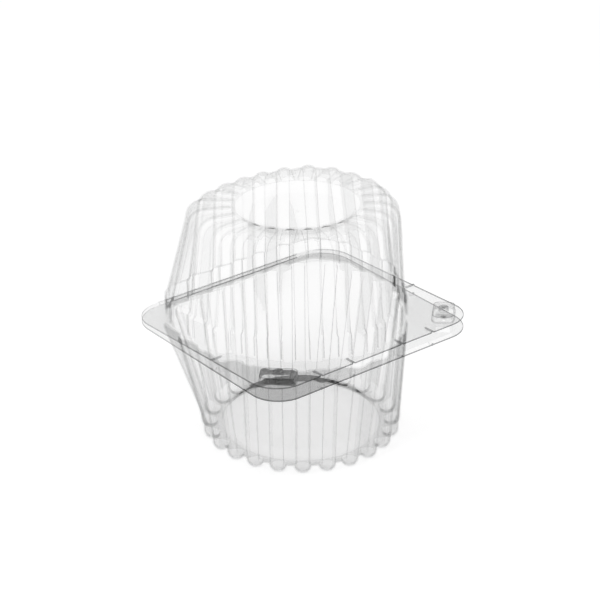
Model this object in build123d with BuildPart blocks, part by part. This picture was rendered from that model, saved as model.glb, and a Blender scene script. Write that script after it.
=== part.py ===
from build123d import *
import os
from math import atan2, cos, degrees, radians, sin, sqrt

# Hinged clear clamshell pack, formed from one sheet: a fluted round cup with a wide
# flange, and a fluted domed lid that stands a little ajar on a living hinge along
# the +Y edge. Lengths in mm, angles in degrees, z = 0 at the feet, latch side at -Y.

# ---- driving dimensions ------------------------------------------------------
# sheet and flange
sheet = 0.5
flange_x = 110.0
flange_y = 101.0
latch_corner_r = 13.5
hinge_corner_r = 15.0
flange_top = 51.6
lip_width = 2.0
lip_drop = 1.4
cut_edge = 0.45
lid_clearance = 0.2

# footprint of the fluted wall, measured from the cup axis
axis_from_mid = 0.4
foot_x = 49.8
foot_latch = 48.7
foot_hinge = 45.9
corner_sharpness = 5.0
latch_round_r = 46.0
platform_from = 13.0
platform_to = 79.0
platform_blend = 5.0

# flutes: round beads standing out of a plain wall
flutes = 24
flute_r = 4.1
flute_relief = 1.1

# base cup
collar = 3.0
cup_round_r = 43.6
cup_round_z = 6.6
cup_shoulder_r = 5.6
foot_flat = 0.3
bottom_ring_r = 35.0
floor_r = 34.2
floor_rise = 4.0
floor_draft = 2.5
cup_phase = 7.5

# lid dome, heights measured from the underside of the lid's flange
dome_step_low = 9.5
dome_step_high = 11.0
dome_step_in = 1.2
dome_round_r = 43.6
dome_squareness = 0.35
dome_top_z = 52.5
dome_shoulder_r = 8.3
shoulder_steps = 6
top_run_r = 34.0
flute_end_r = 28.2
flute_fade = 1.4
top_ring_r = 26.2
dish_r = 25.2
dish_depth = 4.4
dish_draft = 2.0
pip_r = 1.7
pip_height = 1.0
dome_phase = 0.0
ajar = 2.4

# latch bosses
boss_x = 44.6
boss_y = 41.0
boss_length = 15.4
boss_depth = 9.4
boss_corner_r = 2.6
boss_height = 2.4
button_r = 2.1
button_height = 1.1
dimple_r = 0.8
dimple_depth = 0.25
boss_clearance = 0.25

# small pressed ribs across the lid's flange edge
rib_r = 1.0
rib_hollow_r = 0.5
rib_length = 5.0
lip_rib_r = 0.6
lip_rib_length = 2.2
rib_side_y = -10.0
rib_front_xs = (-30.0, -13.0, 13.0, 30.0)

# living hinge
hinge_length = 76.0
hinge_bulge = 1.4

# ---- derived -----------------------------------------------------------------
pitch = 360.0 / flutes
lid_bottom = flange_top + lid_clearance
lip_bottom = flange_top - lip_drop
lip_slope = degrees(atan2(lip_width, lip_drop - cut_edge))
flange_mid_y = -hinge_bulge / 2
axis_y = flange_mid_y + axis_from_mid
hinge_y = flange_mid_y + flange_y / 2
latch_y = flange_mid_y - flange_y / 2
hinge_z = (lip_bottom + lid_bottom + sheet) / 2
crease_y = hinge_y + hinge_bulge - cut_edge / 2
hinge_axis = Axis((0, crease_y, hinge_z), (-1, 0, 0))
cup_axis = Axis((0, axis_y, 0), (0, 0, 1))
round_z = lid_bottom + dome_top_z - dome_shoulder_r
top_level = lid_bottom + dome_top_z - flute_relief
bottom_level = cup_round_z - cup_shoulder_r + flute_relief
overlap = 0.01
standing = (Align.CENTER, Align.CENTER, Align.MIN)


def ease(value, low, high):
    t = min(1.0, max(0.0, (value - low) / (high - low)))
    return t * t * (3 - 2 * t)


def foot_radius(angle):
    # crest of the flutes at the wall's foot: a soft-cornered square, cut back to a
    # round arc beside each latch boss
    c = abs(cos(radians(angle)))
    s = sin(radians(angle))
    depth = foot_latch if s < 0 else foot_hinge
    n = corner_sharpness
    square = ((c / foot_x) ** n + (abs(s) / depth) ** n) ** (-1 / n)
    if s >= 0:
        return square
    off_front = degrees(atan2(c, -s))
    share = ease(off_front, platform_from - platform_blend, platform_from + platform_blend)
    share = share - ease(off_front, platform_to - platform_blend, platform_to + platform_blend)
    return square * (1 - share) + latch_round_r * share


def flange_face(plane):
    with BuildSketch(plane) as face:
        with Locations((0, flange_mid_y)):
            Rectangle(flange_x, flange_y)
        fillet(face.vertices().group_by(Axis.Y)[0], latch_corner_r)
        fillet(face.vertices().group_by(Axis.Y)[-1], hinge_corner_r)
    return face.sketch


def at(r, t, angle, z=0):
    # a point r out from the cup axis along an angle, t sideways and z up
    c = cos(radians(angle))
    s = sin(radians(angle))
    return (r * c - t * s, axis_y + r * s + t * c, z)


def bead_edge(crest, inset):
    # where a bead's arc meets the plain wall: distance out and sideways
    d = crest - flute_r
    wall = crest - flute_relief - inset
    out = (d * d + wall * wall - (flute_r - inset) ** 2) / (2 * d)
    return out, sqrt(wall * wall - out * out)


def wall_face(z, crest_at, phase, inset):
    with BuildSketch(Plane.XY.offset(z)) as face:
        with BuildLine():
            for i in range(flutes):
                a = phase + pitch * i
                out, half = bead_edge(crest_at(a), inset)
                after, half_after = bead_edge(crest_at(a + pitch), inset)
                valley = crest_at(a + pitch / 2) - flute_relief - inset
                end = at(out, half, a)
                ThreePointArc(at(out, -half, a), at(crest_at(a) - inset, 0, a), end)
                ThreePointArc(end, at(valley, 0, a + pitch / 2), at(after, -half_after, a + pitch))
        make_face()
    return face.sketch


def wall_band(z_from, z_to, crest_from, crest_to, phase):
    # fluted wall between two heights, as a shell one sheet thick
    with BuildPart() as band:
        add(wall_face(z_from, crest_from, phase, 0))
        add(wall_face(z_to, crest_to, phase, 0))
        loft(ruled=True)
        add(wall_face(z_from, crest_from, phase, sheet))
        add(wall_face(z_to, crest_to, phase, sheet))
        loft(ruled=True, mode=Mode.SUBTRACT)
    return band.part


def turned(y, z):
    # where a point of the closed lid stands once the lid is ajar
    c = cos(radians(ajar))
    s = sin(radians(ajar))
    dy = y - crease_y
    dz = z - hinge_z
    return (crease_y + dy * c + dz * s, hinge_z - dy * s + dz * c)


def round_crest(r):
    return lambda angle: r


def sector(angle, r_from, r_to, z_from, z_to):
    # one flute's share of a ring
    with BuildPart() as piece:
        with BuildSketch(Plane.XY.offset(z_from)):
            with BuildLine():
                h = pitch / 2
                ThreePointArc(at(r_from, 0, angle - h), at(r_from, 0, angle), at(r_from, 0, angle + h))
                Line(at(r_from, 0, angle + h), at(r_to, 0, angle + h))
                ThreePointArc(at(r_to, 0, angle + h), at(r_to, 0, angle), at(r_to, 0, angle - h))
                Line(at(r_to, 0, angle - h), at(r_from, 0, angle - h))
            make_face()
        extrude(amount=z_to - z_from)
    return piece.part


def dome_radius(angle):
    # crest of the flutes where the dome's shoulder begins
    return dome_round_r + dome_squareness * (foot_radius(angle) - latch_round_r)


def fluted_wire(crest, edge, valley):
    # closed line round the dome; crest and valley give (r, z) at an angle, edge
    # gives (r, z, half width) of a bead
    with BuildLine() as line:
        for i in range(flutes):
            a = dome_phase + pitch * i
            m = a + pitch / 2
            r, z, half = edge(a)
            start = at(r, -half, a, z)
            end = at(r, half, a, z)
            r, z, half = edge(a + pitch)
            after = at(r, -half, a + pitch, z)
            ThreePointArc(start, at(crest(a)[0], 0, a, crest(a)[1]), end)
            ThreePointArc(end, at(valley(m)[0], 0, m, valley(m)[1]), after)
    return line.wire()


def upright_wire(z, crest_at, inset):
    def edge(a):
        out, half = bead_edge(crest_at(a), inset)
        return out, z, half

    return fluted_wire(
        lambda a: (crest_at(a) - inset, z),
        edge,
        lambda a: (crest_at(a) - flute_relief - inset, z),
    )


def shoulder_wire(turn, inset):
    c = cos(radians(turn))
    s = sin(radians(turn))

    def spot(a, bend):
        return dome_radius(a) - dome_shoulder_r + bend * c, round_z + bend * s

    def edge(a):
        out, half = bead_edge(dome_radius(a), inset)
        return *spot(a, dome_shoulder_r - dome_radius(a) + out), half

    return fluted_wire(
        lambda a: spot(a, dome_shoulder_r - inset),
        edge,
        lambda a: spot(a, dome_shoulder_r - flute_relief - inset),
    )


def top_wire(r, relief, inset):
    low = top_level - inset

    def edge(a):
        out, half = bead_edge(dome_radius(a), inset)
        return r, low, half

    return fluted_wire(lambda a: (r - (0 if relief else 0.3), low + relief), edge, lambda a: (r, low))


def dome_solid(z_foot, inset):
    wires = [
        upright_wire(z_foot, foot_radius, inset),
        upright_wire(lid_bottom + dome_step_low, foot_radius, inset),
        upright_wire(lid_bottom + dome_step_high, lambda a: foot_radius(a) - dome_step_in, inset),
    ]
    for i in range(shoulder_steps + 1):
        wires.append(shoulder_wire(90.0 * i / shoulder_steps, inset))
    wires.append(top_wire(top_run_r, flute_relief, inset))
    wires.append(top_wire(flute_end_r, flute_relief, inset))
    wires.append(top_wire(flute_end_r - flute_fade + inset, 0, inset))
    return Solid.make_loft(wires, ruled=True)


def collar_face(z):
    # the cut through the cup's upright collar
    with BuildSketch(Plane.XY.offset(z)) as face:
        add(wall_face(0, foot_radius, cup_phase, 0))
        add(wall_face(0, foot_radius, cup_phase, sheet), mode=Mode.SUBTRACT)
    return face.sketch


def foot_core(inset):
    # the cup's plain bottom edge, with one bead along local X running straight on
    # to a round foot
    wall = cup_round_r - flute_relief - inset
    spine = cup_round_r - flute_r
    corner = cup_round_r - cup_shoulder_r
    bend = cup_shoulder_r - flute_relief - inset
    low = cup_round_z - bend
    r_in = bottom_ring_r - 1 - inset
    half_way = (corner + bend * sqrt(0.5), cup_round_z - bend * sqrt(0.5))
    with BuildPart() as core:
        with BuildSketch(Plane.XZ.offset(-axis_y)):
            with BuildLine():
                Line((r_in, cup_round_z), (wall, cup_round_z))
                ThreePointArc((wall, cup_round_z), half_way, (corner, low))
                Polyline((corner, low), (r_in, low), (r_in, cup_round_z))
            make_face()
        revolve(axis=cup_axis, revolution_arc=360)
        with Locations((spine, axis_y, flute_r - foot_flat)):
            Cylinder(flute_r - inset, cup_round_z - flute_r + foot_flat, align=standing)
            Sphere(flute_r - inset)
    return core.part


def fluted_foot():
    # one flute's share of the cup's bottom edge, with a small flat under its foot
    flat_r = sqrt(flute_r**2 - (flute_r - foot_flat) ** 2)
    with BuildPart() as one:
        add(foot_core(0))
        add(foot_core(sheet), mode=Mode.SUBTRACT)
        add(sector(0, bottom_ring_r, cup_round_r + 5, 0, cup_round_z), mode=Mode.INTERSECT)
        with Locations((cup_round_r - flute_r, axis_y, 0)):
            Cylinder(flat_r, sheet, align=standing)
    return one.part


def latch_boss(z, inset, height):
    # the boss and its button, made smaller all round by an inset
    with BuildPart() as boss:
        with BuildSketch(Plane.XY.offset(z)):
            RectangleRounded(boss_length - 2 * inset, boss_depth - 2 * inset, boss_corner_r - inset)
        extrude(amount=height, taper=4)
        with Locations((0, 0, z + height)):
            Cylinder(button_r - inset, button_height, align=standing)
    return boss.part


def both_latch_corners(piece):
    left = Location((-boss_x, flange_mid_y - boss_y, 0), (0, 0, -45)) * piece
    right = Location((boss_x, flange_mid_y - boss_y, 0), (0, 0, 45)) * piece
    return [left, right]


def pressed_ribs(r, length, z, mode):
    # short ribs running in from the flange's latch, left and right edges
    side = flange_mid_y + rib_side_y
    with Locations(*[(x, latch_y, z) for x in rib_front_xs]):
        Cylinder(r, length, rotation=(-90, 0, 0), align=standing, mode=mode)
    with Locations((-flange_x / 2, side, z)):
        Cylinder(r, length, rotation=(0, 90, 0), align=standing, mode=mode)
    with Locations((flange_x / 2, side, z)):
        Cylinder(r, length, rotation=(0, -90, 0), align=standing, mode=mode)


# ---- base: fluted cup with flange --------------------------------------------
with BuildPart() as base:
    # flange plate with a sloping trim lip, one sheet thick
    for drop, mode in ((0, Mode.ADD), (sheet, Mode.SUBTRACT)):
        with BuildSketch(Plane.XY.offset(lip_bottom - drop)):
            add(flange_face(Plane.XY))
        extrude(amount=cut_edge, mode=mode)
        with BuildSketch(Plane.XY.offset(lip_bottom + cut_edge - drop)):
            add(flange_face(Plane.XY))
        extrude(amount=lip_drop - cut_edge, taper=lip_slope, mode=mode)
    with BuildSketch(Plane.XY.offset(lip_bottom - sheet)):
        add(wall_face(0, foot_radius, cup_phase, sheet))
    extrude(amount=lip_drop + 2 * sheet, mode=Mode.SUBTRACT)
    # pressed ribs over the lip, under the lid's
    pressed_ribs(lip_rib_r, lip_rib_length, lip_bottom + cut_edge, Mode.ADD)
    # male latch bosses
    male = sheet + boss_clearance
    male_height = lid_clearance + boss_height - boss_clearance
    add(both_latch_corners(latch_boss(flange_top - overlap, male, male_height)))
    hollow = latch_boss(flange_top - 2 * sheet, male + sheet, male_height + sheet)
    add(both_latch_corners(hollow), mode=Mode.SUBTRACT)
    # wall, from the upright collar down to the round shoulder
    add(extrude(collar_face(flange_top - collar), amount=collar, mode=Mode.PRIVATE))
    add(wall_band(flange_top - collar, cup_round_z, foot_radius, round_crest(cup_round_r), cup_phase))
    # rounded bottom edge with one round foot under every flute
    foot = fluted_foot()
    add([foot.rotate(cup_axis, cup_phase + pitch * i) for i in range(flutes)])
    # raised floor
    with BuildSketch(Plane.XZ.offset(-axis_y)):
        with BuildLine():
            Polyline(
                (0, bottom_level + floor_rise),
                (floor_r - floor_draft, bottom_level + floor_rise),
                (floor_r, bottom_level),
                (bottom_ring_r, bottom_level),
                (bottom_ring_r, bottom_level + sheet),
                (floor_r + sheet, bottom_level + sheet),
                (floor_r - floor_draft + sheet, bottom_level + floor_rise + sheet),
                (0, bottom_level + floor_rise + sheet),
                close=True,
            )
        make_face()
    revolve(axis=cup_axis)
base.part.label = "base"

# ---- lid: fluted dome with flange --------------------------------------------
with BuildPart() as closed_lid:
    # flat flange
    with BuildSketch(Plane.XY.offset(lid_bottom)):
        add(flange_face(Plane.XY))
        add(wall_face(0, foot_radius, dome_phase, sheet), mode=Mode.SUBTRACT)
    extrude(amount=sheet)
    # pressed ribs over the flange edge
    pressed_ribs(rib_r, rib_length, lid_bottom, Mode.ADD)
    pressed_ribs(rib_hollow_r, rib_length, lid_bottom, Mode.SUBTRACT)
    with Locations((0, 0, lid_bottom)):
        Box(flange_x + 10, flange_y + 10, 4, align=(Align.CENTER, Align.CENTER, Align.MAX), mode=Mode.SUBTRACT)
    # latch bosses, hollow below
    add(both_latch_corners(latch_boss(lid_bottom + sheet - overlap, 0, boss_height)))
    hollow = latch_boss(lid_bottom - overlap, sheet, boss_height)
    add(both_latch_corners(hollow), mode=Mode.SUBTRACT)
    with BuildPart(mode=Mode.PRIVATE) as dimple:
        with Locations((0, 0, lid_bottom + sheet + boss_height + button_height)):
            Cylinder(dimple_r, 2 * dimple_depth)
    add(both_latch_corners(dimple.part), mode=Mode.SUBTRACT)
    # fluted dome: upright collar, small step, tapering wall, shoulder and top ring
    add(dome_solid(lid_bottom, 0))
    add(dome_solid(lid_bottom - 1, sheet), mode=Mode.SUBTRACT)
    with Locations((0, axis_y, top_level - 2 * sheet)):
        Cylinder(top_ring_r, 4 * sheet, align=standing, mode=Mode.SUBTRACT)
    # recessed centre with a small pip
    dish_floor = top_level - dish_depth
    with BuildSketch(Plane.XZ.offset(-axis_y)):
        with BuildLine():
            Polyline(
                (0, dish_floor + pip_height),
                (pip_r * 0.6, dish_floor + pip_height),
                (pip_r, dish_floor),
                (dish_r - dish_draft, dish_floor),
                (dish_r, top_level),
                (top_ring_r, top_level),
                (top_ring_r, top_level - sheet),
                (dish_r + sheet, top_level - sheet),
                (dish_r - dish_draft + sheet, dish_floor - sheet),
                (pip_r - sheet / 2, dish_floor - sheet),
                (pip_r * 0.6 - sheet / 2, dish_floor - sheet + pip_height),
                (0, dish_floor - sheet + pip_height),
                close=True,
            )
        make_face()
    revolve(axis=cup_axis)

with BuildPart() as lid:
    add(closed_lid.part.rotate(hinge_axis, ajar))
lid.part.label = "lid"

# ---- living hinge: a thin bent web between the two flange edges ---------------
web_top = turned(hinge_y, lid_bottom + sheet)
web_under = turned(hinge_y, lid_bottom + sheet - cut_edge)
with BuildPart() as living_hinge:
    with BuildSketch(Plane.YZ):
        with BuildLine():
            ThreePointArc((hinge_y, lip_bottom), (hinge_y + hinge_bulge, hinge_z), web_top)
            Line(web_top, web_under)
            ThreePointArc(web_under, (hinge_y + hinge_bulge - cut_edge, hinge_z), (hinge_y, lip_bottom + cut_edge))
            Line((hinge_y, lip_bottom + cut_edge), (hinge_y, lip_bottom))
        make_face()
    extrude(amount=hinge_length / 2, both=True)
living_hinge.part.label = "living_hinge"

os.makedirs("parts", exist_ok=True)
export_step(base.part, "parts/base.step")
export_step(lid.part, "parts/lid.step")
export_step(living_hinge.part, "parts/living_hinge.step")
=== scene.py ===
import math
import bpy
import bmesh
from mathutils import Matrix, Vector


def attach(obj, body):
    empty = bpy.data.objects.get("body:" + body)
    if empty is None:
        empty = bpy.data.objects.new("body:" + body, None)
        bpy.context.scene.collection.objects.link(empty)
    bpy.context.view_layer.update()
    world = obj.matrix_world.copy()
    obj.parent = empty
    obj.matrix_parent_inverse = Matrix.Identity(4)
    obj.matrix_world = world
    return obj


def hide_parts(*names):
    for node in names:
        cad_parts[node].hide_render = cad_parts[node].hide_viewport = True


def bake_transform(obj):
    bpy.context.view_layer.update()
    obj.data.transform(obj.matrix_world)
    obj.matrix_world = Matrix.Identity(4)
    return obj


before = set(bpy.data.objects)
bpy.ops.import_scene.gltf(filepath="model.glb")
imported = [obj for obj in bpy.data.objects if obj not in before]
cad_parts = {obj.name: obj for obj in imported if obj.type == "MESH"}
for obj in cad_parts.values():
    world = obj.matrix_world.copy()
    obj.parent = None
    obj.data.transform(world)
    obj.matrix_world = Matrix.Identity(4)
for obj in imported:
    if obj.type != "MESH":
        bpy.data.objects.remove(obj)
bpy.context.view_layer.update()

MM = 0.001
HINGE_Y = 49.8 * MM
HINGE_Z = 51.25 * MM
CREASE_Y = 50.975 * MM
AJAR = math.radians(2.4)
AXIS_Y = -0.3 * MM
FLANGE_MID_Y = -0.7 * MM
BOSS_X = 44.6 * MM
BOSS_Y = -41.7 * MM
RIB_XS = (13.0 * MM, 30.0 * MM)
RIB_SIDE_Y = -10.7 * MM
RIB_FADE = (0.25 * MM, 0.6 * MM, 1.0, 0.0)
CLEAR = (1.0, 1.0, 1.0, 1.0)
# dark end of the sheet colour: the sheet's own faint grey and the painted shade
SHEET_TINT_AND_SHADE = (0.10, 0.105, 0.11, 1.0)


# ---- node helpers ------------------------------------------------------------
class Net:
    def __init__(self, name):
        self.mat = bpy.data.materials.new(name)
        self.mat.use_nodes = True
        self.nt = self.mat.node_tree
        self.nt.nodes.clear()

    def node(self, kind, **settings):
        n = self.nt.nodes.new(kind)
        for k, v in settings.items():
            setattr(n, k, v)
        return n

    def put(self, socket, value):
        if isinstance(value, bpy.types.NodeSocket):
            self.nt.links.new(value, socket)
        elif value is not None:
            socket.default_value = value

    def math(self, op, a, b=None, c=None, clamp=False):
        n = self.node("ShaderNodeMath", operation=op, use_clamp=clamp)
        self.put(n.inputs[0], a)
        if b is not None:
            self.put(n.inputs[1], b)
        if c is not None:
            self.put(n.inputs[2], c)
        return n.outputs[0]

    def ramp(self, x, low, high, out_low=0.0, out_high=1.0, smooth=True):
        n = self.node("ShaderNodeMapRange", interpolation_type="SMOOTHSTEP" if smooth else "LINEAR")
        n.clamp = True
        self.put(n.inputs["Value"], x)
        self.put(n.inputs["From Min"], low)
        self.put(n.inputs["From Max"], high)
        self.put(n.inputs["To Min"], out_low)
        self.put(n.inputs["To Max"], out_high)
        return n.outputs["Result"]

    def noise(self, vector, scale, detail=2.0, rough=0.5):
        n = self.node("ShaderNodeTexNoise")
        self.put(n.inputs["Vector"], vector)
        n.inputs["Scale"].default_value = scale
        n.inputs["Detail"].default_value = detail
        n.inputs["Roughness"].default_value = rough
        return n.outputs["Fac"]

    def xyz(self, vector):
        n = self.node("ShaderNodeSeparateXYZ")
        self.put(n.inputs[0], vector)
        return n.outputs[0], n.outputs[1], n.outputs[2]

    def mix_colour(self, fac, a, b):
        n = self.node("ShaderNodeMix", data_type="RGBA")
        self.put(n.inputs[0], fac)
        self.put(n.inputs[6], a)
        self.put(n.inputs[7], b)
        return n.outputs[2]

    def mix_shader(self, fac, a, b):
        n = self.node("ShaderNodeMixShader")
        self.put(n.inputs[0], fac)
        self.put(n.inputs[1], a)
        self.put(n.inputs[2], b)
        return n.outputs[0]


def clear_sheet(name, phase, tilted):
    """Clear formed sheet: see-through, with painted shade where it is seen edge-on,
    along the creases of its flutes and at its cut edge, and a soft gloss."""
    w = Net(name)
    place = w.node("ShaderNodeTexCoord").outputs["Object"]
    if tilted:
        turn = w.node("ShaderNodeVectorRotate", rotation_type="X_AXIS")
        turn.inputs["Center"].default_value = (0, CREASE_Y, HINGE_Z)
        turn.inputs["Angle"].default_value = AJAR
        w.put(turn.inputs["Vector"], place)
        place = turn.outputs[0]
    x, y, z = w.xyz(place)

    # flutes: sideways distance from the nearest bead's middle
    dy = w.math("SUBTRACT", y, AXIS_Y)
    angle = w.math("ARCTAN2", dy, x)
    r = w.math("SQRT", w.math("ADD", w.math("MULTIPLY", x, x), w.math("MULTIPLY", dy, dy)))
    pitch = math.radians(15)
    turnings = w.math("DIVIDE", w.math("SUBTRACT", angle, math.radians(phase)), pitch)
    off = w.math("MULTIPLY", w.math("SUBTRACT", w.math("FRACT", w.math("ADD", turnings, 0.5)), 0.5), pitch)
    side = w.math("ABSOLUTE", w.math("MULTIPLY", r, w.math("SINE", off)))
    # painted shade: dark lines along the flute creases
    from_crease = w.math("ABSOLUTE", w.math("SUBTRACT", side, 2.9 * MM))
    crease_shade = w.ramp(from_crease, 0.05 * MM, 0.32 * MM, 1.0, 0.0)
    return w, x, y, z, r, crease_shade


def rounded_box(w, x, y, half_x, half_y, corner):
    """Distance to a rounded rectangle's outline, negative inside."""
    qx = w.math("SUBTRACT", w.math("ABSOLUTE", x), w.math("SUBTRACT", half_x, corner))
    qy = w.math("SUBTRACT", w.math("ABSOLUTE", y), w.math("SUBTRACT", half_y, corner))
    px = w.math("MAXIMUM", qx, 0.0)
    py = w.math("MAXIMUM", qy, 0.0)
    out = w.math("SQRT", w.math("ADD", w.math("MULTIPLY", px, px), w.math("MULTIPLY", py, py)))
    inside = w.math("MINIMUM", w.math("MAXIMUM", qx, qy), 0.0)
    return w.math("SUBTRACT", w.math("ADD", out, inside), corner)


def latch_shade_lines(w, x, y, z, deck):
    """Painted shade: dark outlines of the corner bosses, their buttons and the pressed ribs."""
    wide = w.math("ABSOLUTE", x)
    bx = w.math("SUBTRACT", wide, BOSS_X)
    by = w.math("SUBTRACT", y, BOSS_Y)
    along = w.math("MULTIPLY", w.math("ADD", bx, by), 0.7071)
    across = w.math("MULTIPLY", w.math("SUBTRACT", by, bx), 0.7071)
    rim = w.math("ABSOLUTE", rounded_box(w, along, across, 7.6 * MM, 4.6 * MM, 2.5 * MM))
    top = w.ramp(z, (deck + 2.0) * MM, (deck + 2.3) * MM)
    low = w.ramp(z, (deck + 0.05) * MM, (deck + 0.3) * MM, 1.0, 0.0)
    level = w.math("MAXIMUM", w.math("MULTIPLY", top, 0.36), w.math("MULTIPLY", low, 0.22))
    wall = w.ramp(rim, 0.25 * MM, 0.5 * MM, 1.0, 0.0)
    lines = w.math("MULTIPLY", wall, w.math("ADD", level, 0.02))

    spot = w.math("SQRT", w.math("ADD", w.math("MULTIPLY", along, along), w.math("MULTIPLY", across, across)))
    from_button = w.math("ABSOLUTE", w.math("SUBTRACT", spot, 2.05 * MM))
    ring = w.ramp(from_button, 0.1 * MM, 0.35 * MM, 1.0, 0.0)
    dot = w.ramp(spot, 0.6 * MM, 1.0 * MM, 1.0, 0.0)
    lines = w.math("MAXIMUM", lines, w.math("MULTIPLY", w.math("MAXIMUM", ring, dot), 0.30))

    inner, outer = (w.math("ABSOLUTE", w.math("SUBTRACT", wide, place)) for place in RIB_XS)
    near = w.math("MINIMUM", inner, outer)
    front = w.math("MULTIPLY", w.ramp(near, *RIB_FADE), w.math("LESS_THAN", y, -46.6 * MM))
    near = w.math("ABSOLUTE", w.math("SUBTRACT", y, RIB_SIDE_Y))
    side = w.math("MULTIPLY", w.ramp(near, *RIB_FADE), w.math("GREATER_THAN", wide, 50.4 * MM))
    return w.math("MAXIMUM", lines, w.math("MULTIPLY", w.math("MAXIMUM", front, side), 0.5))


def finish_sheet(w, x, y, z, crease_shade, wall_mask, even, flange_mask=0.0, foot_mask=0.0, extra=0.0,
                 edge_back=0.05, disc=0.0):
    """Painted shade and the sheet's own tone from all masks, then the see-through colour and the gloss."""
    # painted shade: dark line along the flange's cut edge, softer along the hinge
    latch = w.math("LESS_THAN", y, FLANGE_MID_Y)
    corner = w.math("SUBTRACT", 15.0 * MM, w.math("MULTIPLY", latch, 1.5 * MM))
    reach = rounded_box(w, x, w.math("SUBTRACT", y, FLANGE_MID_Y), 55.0 * MM, 50.5 * MM, corner)
    depth = w.ramp(y, -10.0 * MM, 30.0 * MM, 0.60, edge_back)
    depth = w.math("MAXIMUM", depth, w.ramp(w.math("ABSOLUTE", x), 44.0 * MM, 50.0 * MM, 0.0, 0.34))
    edge = w.math("MULTIPLY", w.ramp(reach, -0.3 * MM, -0.05 * MM), depth)

    # painted shade where the sheet is seen edge-on, stronger near the feet
    weight = w.node("ShaderNodeLayerWeight")
    weight.inputs["Blend"].default_value = 0.5
    facing = weight.outputs["Facing"]
    grazing = w.math("POWER", facing, 6.0)
    coords = w.node("ShaderNodeCombineXYZ")
    w.put(coords.inputs[0], x)
    w.put(coords.inputs[1], y)
    w.put(coords.inputs[2], z)
    cloud = w.noise(coords.outputs[0], 55.0, 3.0, 0.55)

    # painted shade: edge-on darkening, flute crease lines, cut edge line and latch outlines; then a flange
    # darkening and a random tone
    dark = w.math("MULTIPLY", grazing, w.math("ADD", w.math("MULTIPLY", foot_mask, 0.28), 0.12))
    dark = w.math("ADD", dark, w.math("MULTIPLY", crease_shade, wall_mask))
    dark = w.math("MAXIMUM", dark, edge)
    dark = w.math("MAXIMUM", dark, extra)
    dark = w.math("ADD", dark, w.math("MULTIPLY", flange_mask, 0.010))
    dark = w.math("ADD", dark, w.ramp(cloud, 0.3, 0.75, even - 0.006, even + 0.006, smooth=False))
    dark = w.math("MINIMUM", dark, 0.9)
    # less painted shade and less gloss on the raised floor disc
    disc_lighten = w.math("SUBTRACT", 1.0, w.math("MULTIPLY", disc, 0.75))
    dark = w.math("MULTIPLY", dark, disc_lighten)
    # see-through colour: the sheet's own grey plus the painted shade
    tint_and_shade = w.mix_colour(dark, CLEAR, SHEET_TINT_AND_SHADE)
    through = w.node("ShaderNodeBsdfTransparent")
    w.put(through.inputs["Color"], tint_and_shade)

    # soft gloss with faint forming ripples
    ripple = w.noise(coords.outputs[0], 140.0, 2.0, 0.5)
    bump = w.node("ShaderNodeBump")
    bump.inputs["Strength"].default_value = 0.12
    bump.inputs["Distance"].default_value = 0.0004
    w.put(bump.inputs["Height"], ripple)
    gloss = w.node("ShaderNodeBsdfPrincipled")
    gloss.inputs["Base Color"].default_value = (0.93, 0.935, 0.935, 1.0)
    w.put(gloss.inputs["Roughness"], w.ramp(cloud, 0.3, 0.7, 0.06, 0.16))
    gloss.inputs["IOR"].default_value = 1.55
    w.put(gloss.inputs["Normal"], bump.outputs[0])
    fres = w.node("ShaderNodeFresnel")
    fres.inputs["IOR"].default_value = 1.35
    w.put(fres.inputs["Normal"], bump.outputs[0])
    share = w.math("ADD", w.math("MULTIPLY", fres.outputs[0], 0.19), 0.005, clamp=True)
    share = w.math("MULTIPLY", share, disc_lighten)
    surface = w.mix_shader(share, through.outputs[0], gloss.outputs[0])
    end = w.node("ShaderNodeOutputMaterial")
    w.put(end.inputs["Surface"], surface)
    return w.mat


# base: flutes fill the wall from the flange down
w, x, y, z, r, crease_shade = clear_sheet("clear base sheet", 7.5, False)
# painted shade along the flute creases, on the wall between feet and flange
wall = w.math("MULTIPLY", w.ramp(z, 3.0 * MM, 6.0 * MM), w.ramp(z, 49.5 * MM, 51.0 * MM, 1.0, 0.0))
wall = w.math("MULTIPLY", wall, 0.15)
deck = w.ramp(z, 49.2 * MM, 50.0 * MM)
# painted shade: extra edge-on darkening near the feet
feet = w.ramp(z, 2.5 * MM, 8.0 * MM, 1.0, 0.0)
# raised floor disc, which gets less painted shade and gloss
disc = w.math("MULTIPLY", w.ramp(z, 7.2 * MM, 9.0 * MM, 1.0, 0.0), w.ramp(r, 33.6 * MM, 34.6 * MM, 1.0, 0.0))
base_mat = finish_sheet(w, x, y, z, crease_shade, wall, 0.026, deck, feet, disc=disc)

# lid: flutes run up the wall and over the shoulder to the recessed centre
w, x, y, z, r, crease_shade = clear_sheet("clear lid sheet", 0.0, True)
# painted shade along the flute creases, stronger low on the wall
wall = w.math("MULTIPLY", w.ramp(z, 52.2 * MM, 53.0 * MM), w.ramp(r, 26.8 * MM, 28.6 * MM))
wall = w.math("MULTIPLY", wall, w.ramp(z, 60.0 * MM, 72.0 * MM, 0.24, 0.085))
deck = w.ramp(z, 52.3 * MM, 52.9 * MM, 1.0, 0.0)
disc = w.math("MULTIPLY", w.ramp(z, 96.0 * MM, 97.5 * MM), w.ramp(r, 25.6 * MM, 26.4 * MM, 1.0, 0.0))
# painted shade: dark outlines of the latch bosses, buttons and ribs
latch = latch_shade_lines(w, x, y, z, 52.3)
lid_mat = finish_sheet(w, x, y, z, crease_shade, wall, 0.016, deck, 0.0, latch, disc=disc)

w, x, y, z, r, crease_shade = clear_sheet("clear hinge web", 0.0, False)
hinge_mat = finish_sheet(w, x, y, z, crease_shade, 0.0, 0.008, edge_back=0.0)


def dress(node, mat):
    ob = bpy.data.objects[node]
    if not ob.material_slots:
        ob.data.materials.append(mat)
    for s in ob.material_slots:
        s.link = "OBJECT"
        s.material = mat


dress("base", base_mat)
dress("lid", lid_mat)

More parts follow.
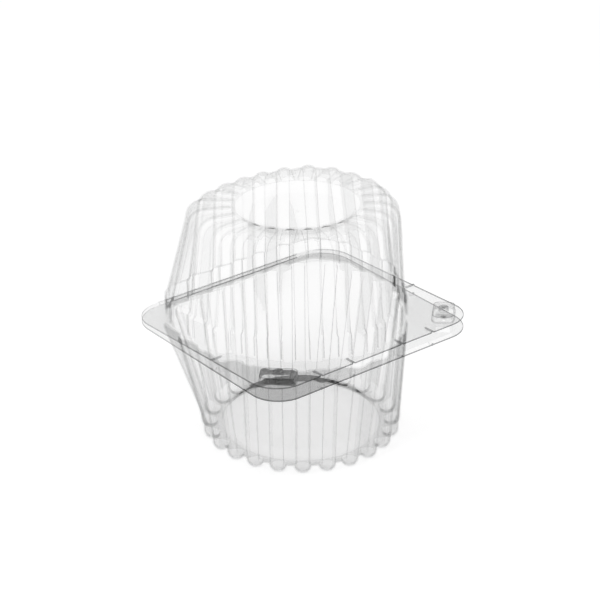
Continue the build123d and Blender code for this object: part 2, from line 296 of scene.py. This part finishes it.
# ---- living hinge web, bending between the two flanges -------------------------
def web_point(t, inset):
    """Cross-section of the web: t runs from the base's edge round to the lid's."""
    low = Vector((HINGE_Y, 50.2 * MM + inset))
    high = Vector((HINGE_Y, 52.35 * MM - inset))
    mid = Vector((51.2 * MM - inset, HINGE_Z))
    a = math.pi * t
    half = (high.y - low.y) / 2
    centre = (high.y + low.y) / 2
    return Vector((HINGE_Y + (mid.x - HINGE_Y) * math.sin(a), centre - half * math.cos(a)))


bm = bmesh.new()
steps_t, steps_x, half_len = 14, 76, 38.0 * MM
loops = []
for i in range(steps_x + 1):
    px = -half_len + 2 * half_len * i / steps_x
    ring = []
    for k in range(steps_t + 1):
        p = web_point(k / steps_t, 0.0)
        ring.append(bm.verts.new((px, p.x, p.y)))
    for k in range(steps_t, -1, -1):
        p = web_point(k / steps_t, 0.45 * MM)
        ring.append(bm.verts.new((px, p.x, p.y)))
    loops.append(ring)
n = len(loops[0])
for a, b in zip(loops, loops[1:]):
    for k in range(n):
        bm.faces.new((a[k], a[(k + 1) % n], b[(k + 1) % n], b[k]))
for ring in (loops[0], loops[-1]):
    for k in range(steps_t):
        bm.faces.new((ring[k], ring[k + 1], ring[n - 2 - k], ring[n - 1 - k]))
bmesh.ops.recalc_face_normals(bm, faces=bm.faces)
web_mesh = bpy.data.meshes.new("hinge_web")
bm.to_mesh(web_mesh)
bm.free()
for p in web_mesh.polygons:
    p.use_smooth = True
web = bpy.data.objects.new("hinge_web", web_mesh)
bpy.context.scene.collection.objects.link(web)
web_mesh.materials.append(hinge_mat)
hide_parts("living_hinge")
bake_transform(web)
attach(web, "base")

# ---- floor and backdrop ------------------------------------------------------
floor_mesh = bpy.data.meshes.new("floor")
bm = bmesh.new()
bmesh.ops.create_grid(bm, x_segments=8, y_segments=8, size=6.0)
bm.to_mesh(floor_mesh)
bm.free()
floor = bpy.data.objects.new("floor", floor_mesh)
bpy.context.scene.collection.objects.link(floor)
f = Net("floor")
path = f.node("ShaderNodeLightPath")
indirect = f.math("MAXIMUM", path.outputs["Is Glossy Ray"], path.outputs["Is Transmission Ray"])
seen = f.math("MAXIMUM", path.outputs["Is Camera Ray"], indirect)
diff = f.node("ShaderNodeBsdfDiffuse")
grain = f.noise(f.node("ShaderNodeTexCoord").outputs["Object"], 30.0)
f.put(diff.inputs["Color"], f.mix_colour(grain, (0.86, 0.86, 0.86, 1), (0.88, 0.88, 0.88, 1)))
glow = f.node("ShaderNodeEmission")
f.put(glow.inputs["Color"], (1, 1, 1, 1))
f.put(glow.inputs["Strength"], f.math("MULTIPLY", seen, 0.50))
both = f.node("ShaderNodeAddShader")
f.put(both.inputs[0], diff.outputs[0])
f.put(both.inputs[1], glow.outputs[0])
out = f.node("ShaderNodeOutputMaterial")
f.put(out.inputs["Surface"], both.outputs[0])
floor_mesh.materials.append(f.mat)

world = bpy.data.worlds.new("studio")
bpy.context.scene.world = world
world.use_nodes = True
nt = world.node_tree
nt.nodes.clear()
lp = nt.nodes.new("ShaderNodeLightPath")
m1 = nt.nodes.new("ShaderNodeMath")
m1.operation = "MAXIMUM"
m2 = nt.nodes.new("ShaderNodeMath")
m2.operation = "MAXIMUM"
nt.links.new(lp.outputs["Is Camera Ray"], m1.inputs[0])
nt.links.new(lp.outputs["Is Glossy Ray"], m1.inputs[1])
nt.links.new(m1.outputs[0], m2.inputs[0])
nt.links.new(lp.outputs["Is Transmission Ray"], m2.inputs[1])
bg_seen = nt.nodes.new("ShaderNodeBackground")
bg_seen.inputs[0].default_value = (1, 1, 1, 1)
bg_seen.inputs[1].default_value = 1.0
bg_light = nt.nodes.new("ShaderNodeBackground")
bg_light.inputs[0].default_value = (1, 1, 1, 1)
bg_light.inputs[1].default_value = 0.40
mixw = nt.nodes.new("ShaderNodeMixShader")
nt.links.new(m2.outputs[0], mixw.inputs[0])
nt.links.new(bg_light.outputs[0], mixw.inputs[1])
nt.links.new(bg_seen.outputs[0], mixw.inputs[2])
wo = nt.nodes.new("ShaderNodeOutputWorld")
nt.links.new(mixw.outputs[0], wo.inputs[0])


def softbox(name, place, aim, size, power):
    data = bpy.data.lights.new(name, "AREA")
    data.shape = "RECTANGLE"
    data.size, data.size_y = size
    data.energy = power
    ob = bpy.data.objects.new(name, data)
    ob.location = place
    d = Vector(aim) - Vector(place)
    ob.rotation_euler = d.to_track_quat("-Z", "Y").to_euler()
    bpy.context.scene.collection.objects.link(ob)
    return ob


softbox("top_box", (0.0, 0.1, 1.6), (0, 0, 0.05), (1.6, 1.6), 5.6)
softbox("left_box", (-0.9, -0.1, 0.55), (0, 0, 0.05), (0.28, 0.4), 1.5)
softbox("right_box", (0.75, -0.7, 0.5), (0, 0, 0.05), (0.24, 0.36), 0.9)

# ---- camera --------------------------------------------------------------------
el, az = math.radians(27.1), math.radians(-38.7)
back = Vector((math.sin(az) * math.cos(el), -math.cos(az) * math.cos(el), math.sin(el)))
right = Vector((math.cos(az), math.sin(az), 0))
up = back.cross(right)
cam = bpy.data.cameras.new("camera")
cam.lens = 132.0
cam.sensor_width = 36.0
cam.clip_start = 0.05
cam.clip_end = 50.0
cam_ob = bpy.data.objects.new("camera", cam)
cam_ob.location = back * 0.940 + right * -0.0006 + up * 0.0078 + Vector((0, FLANGE_MID_Y, 0.0523))
cam_ob.rotation_euler = (-back).to_track_quat("-Z", "Y").to_euler()
bpy.context.scene.collection.objects.link(cam_ob)
bpy.context.scene.camera = cam_ob
bpy.context.scene.view_settings.view_transform = "Standard"
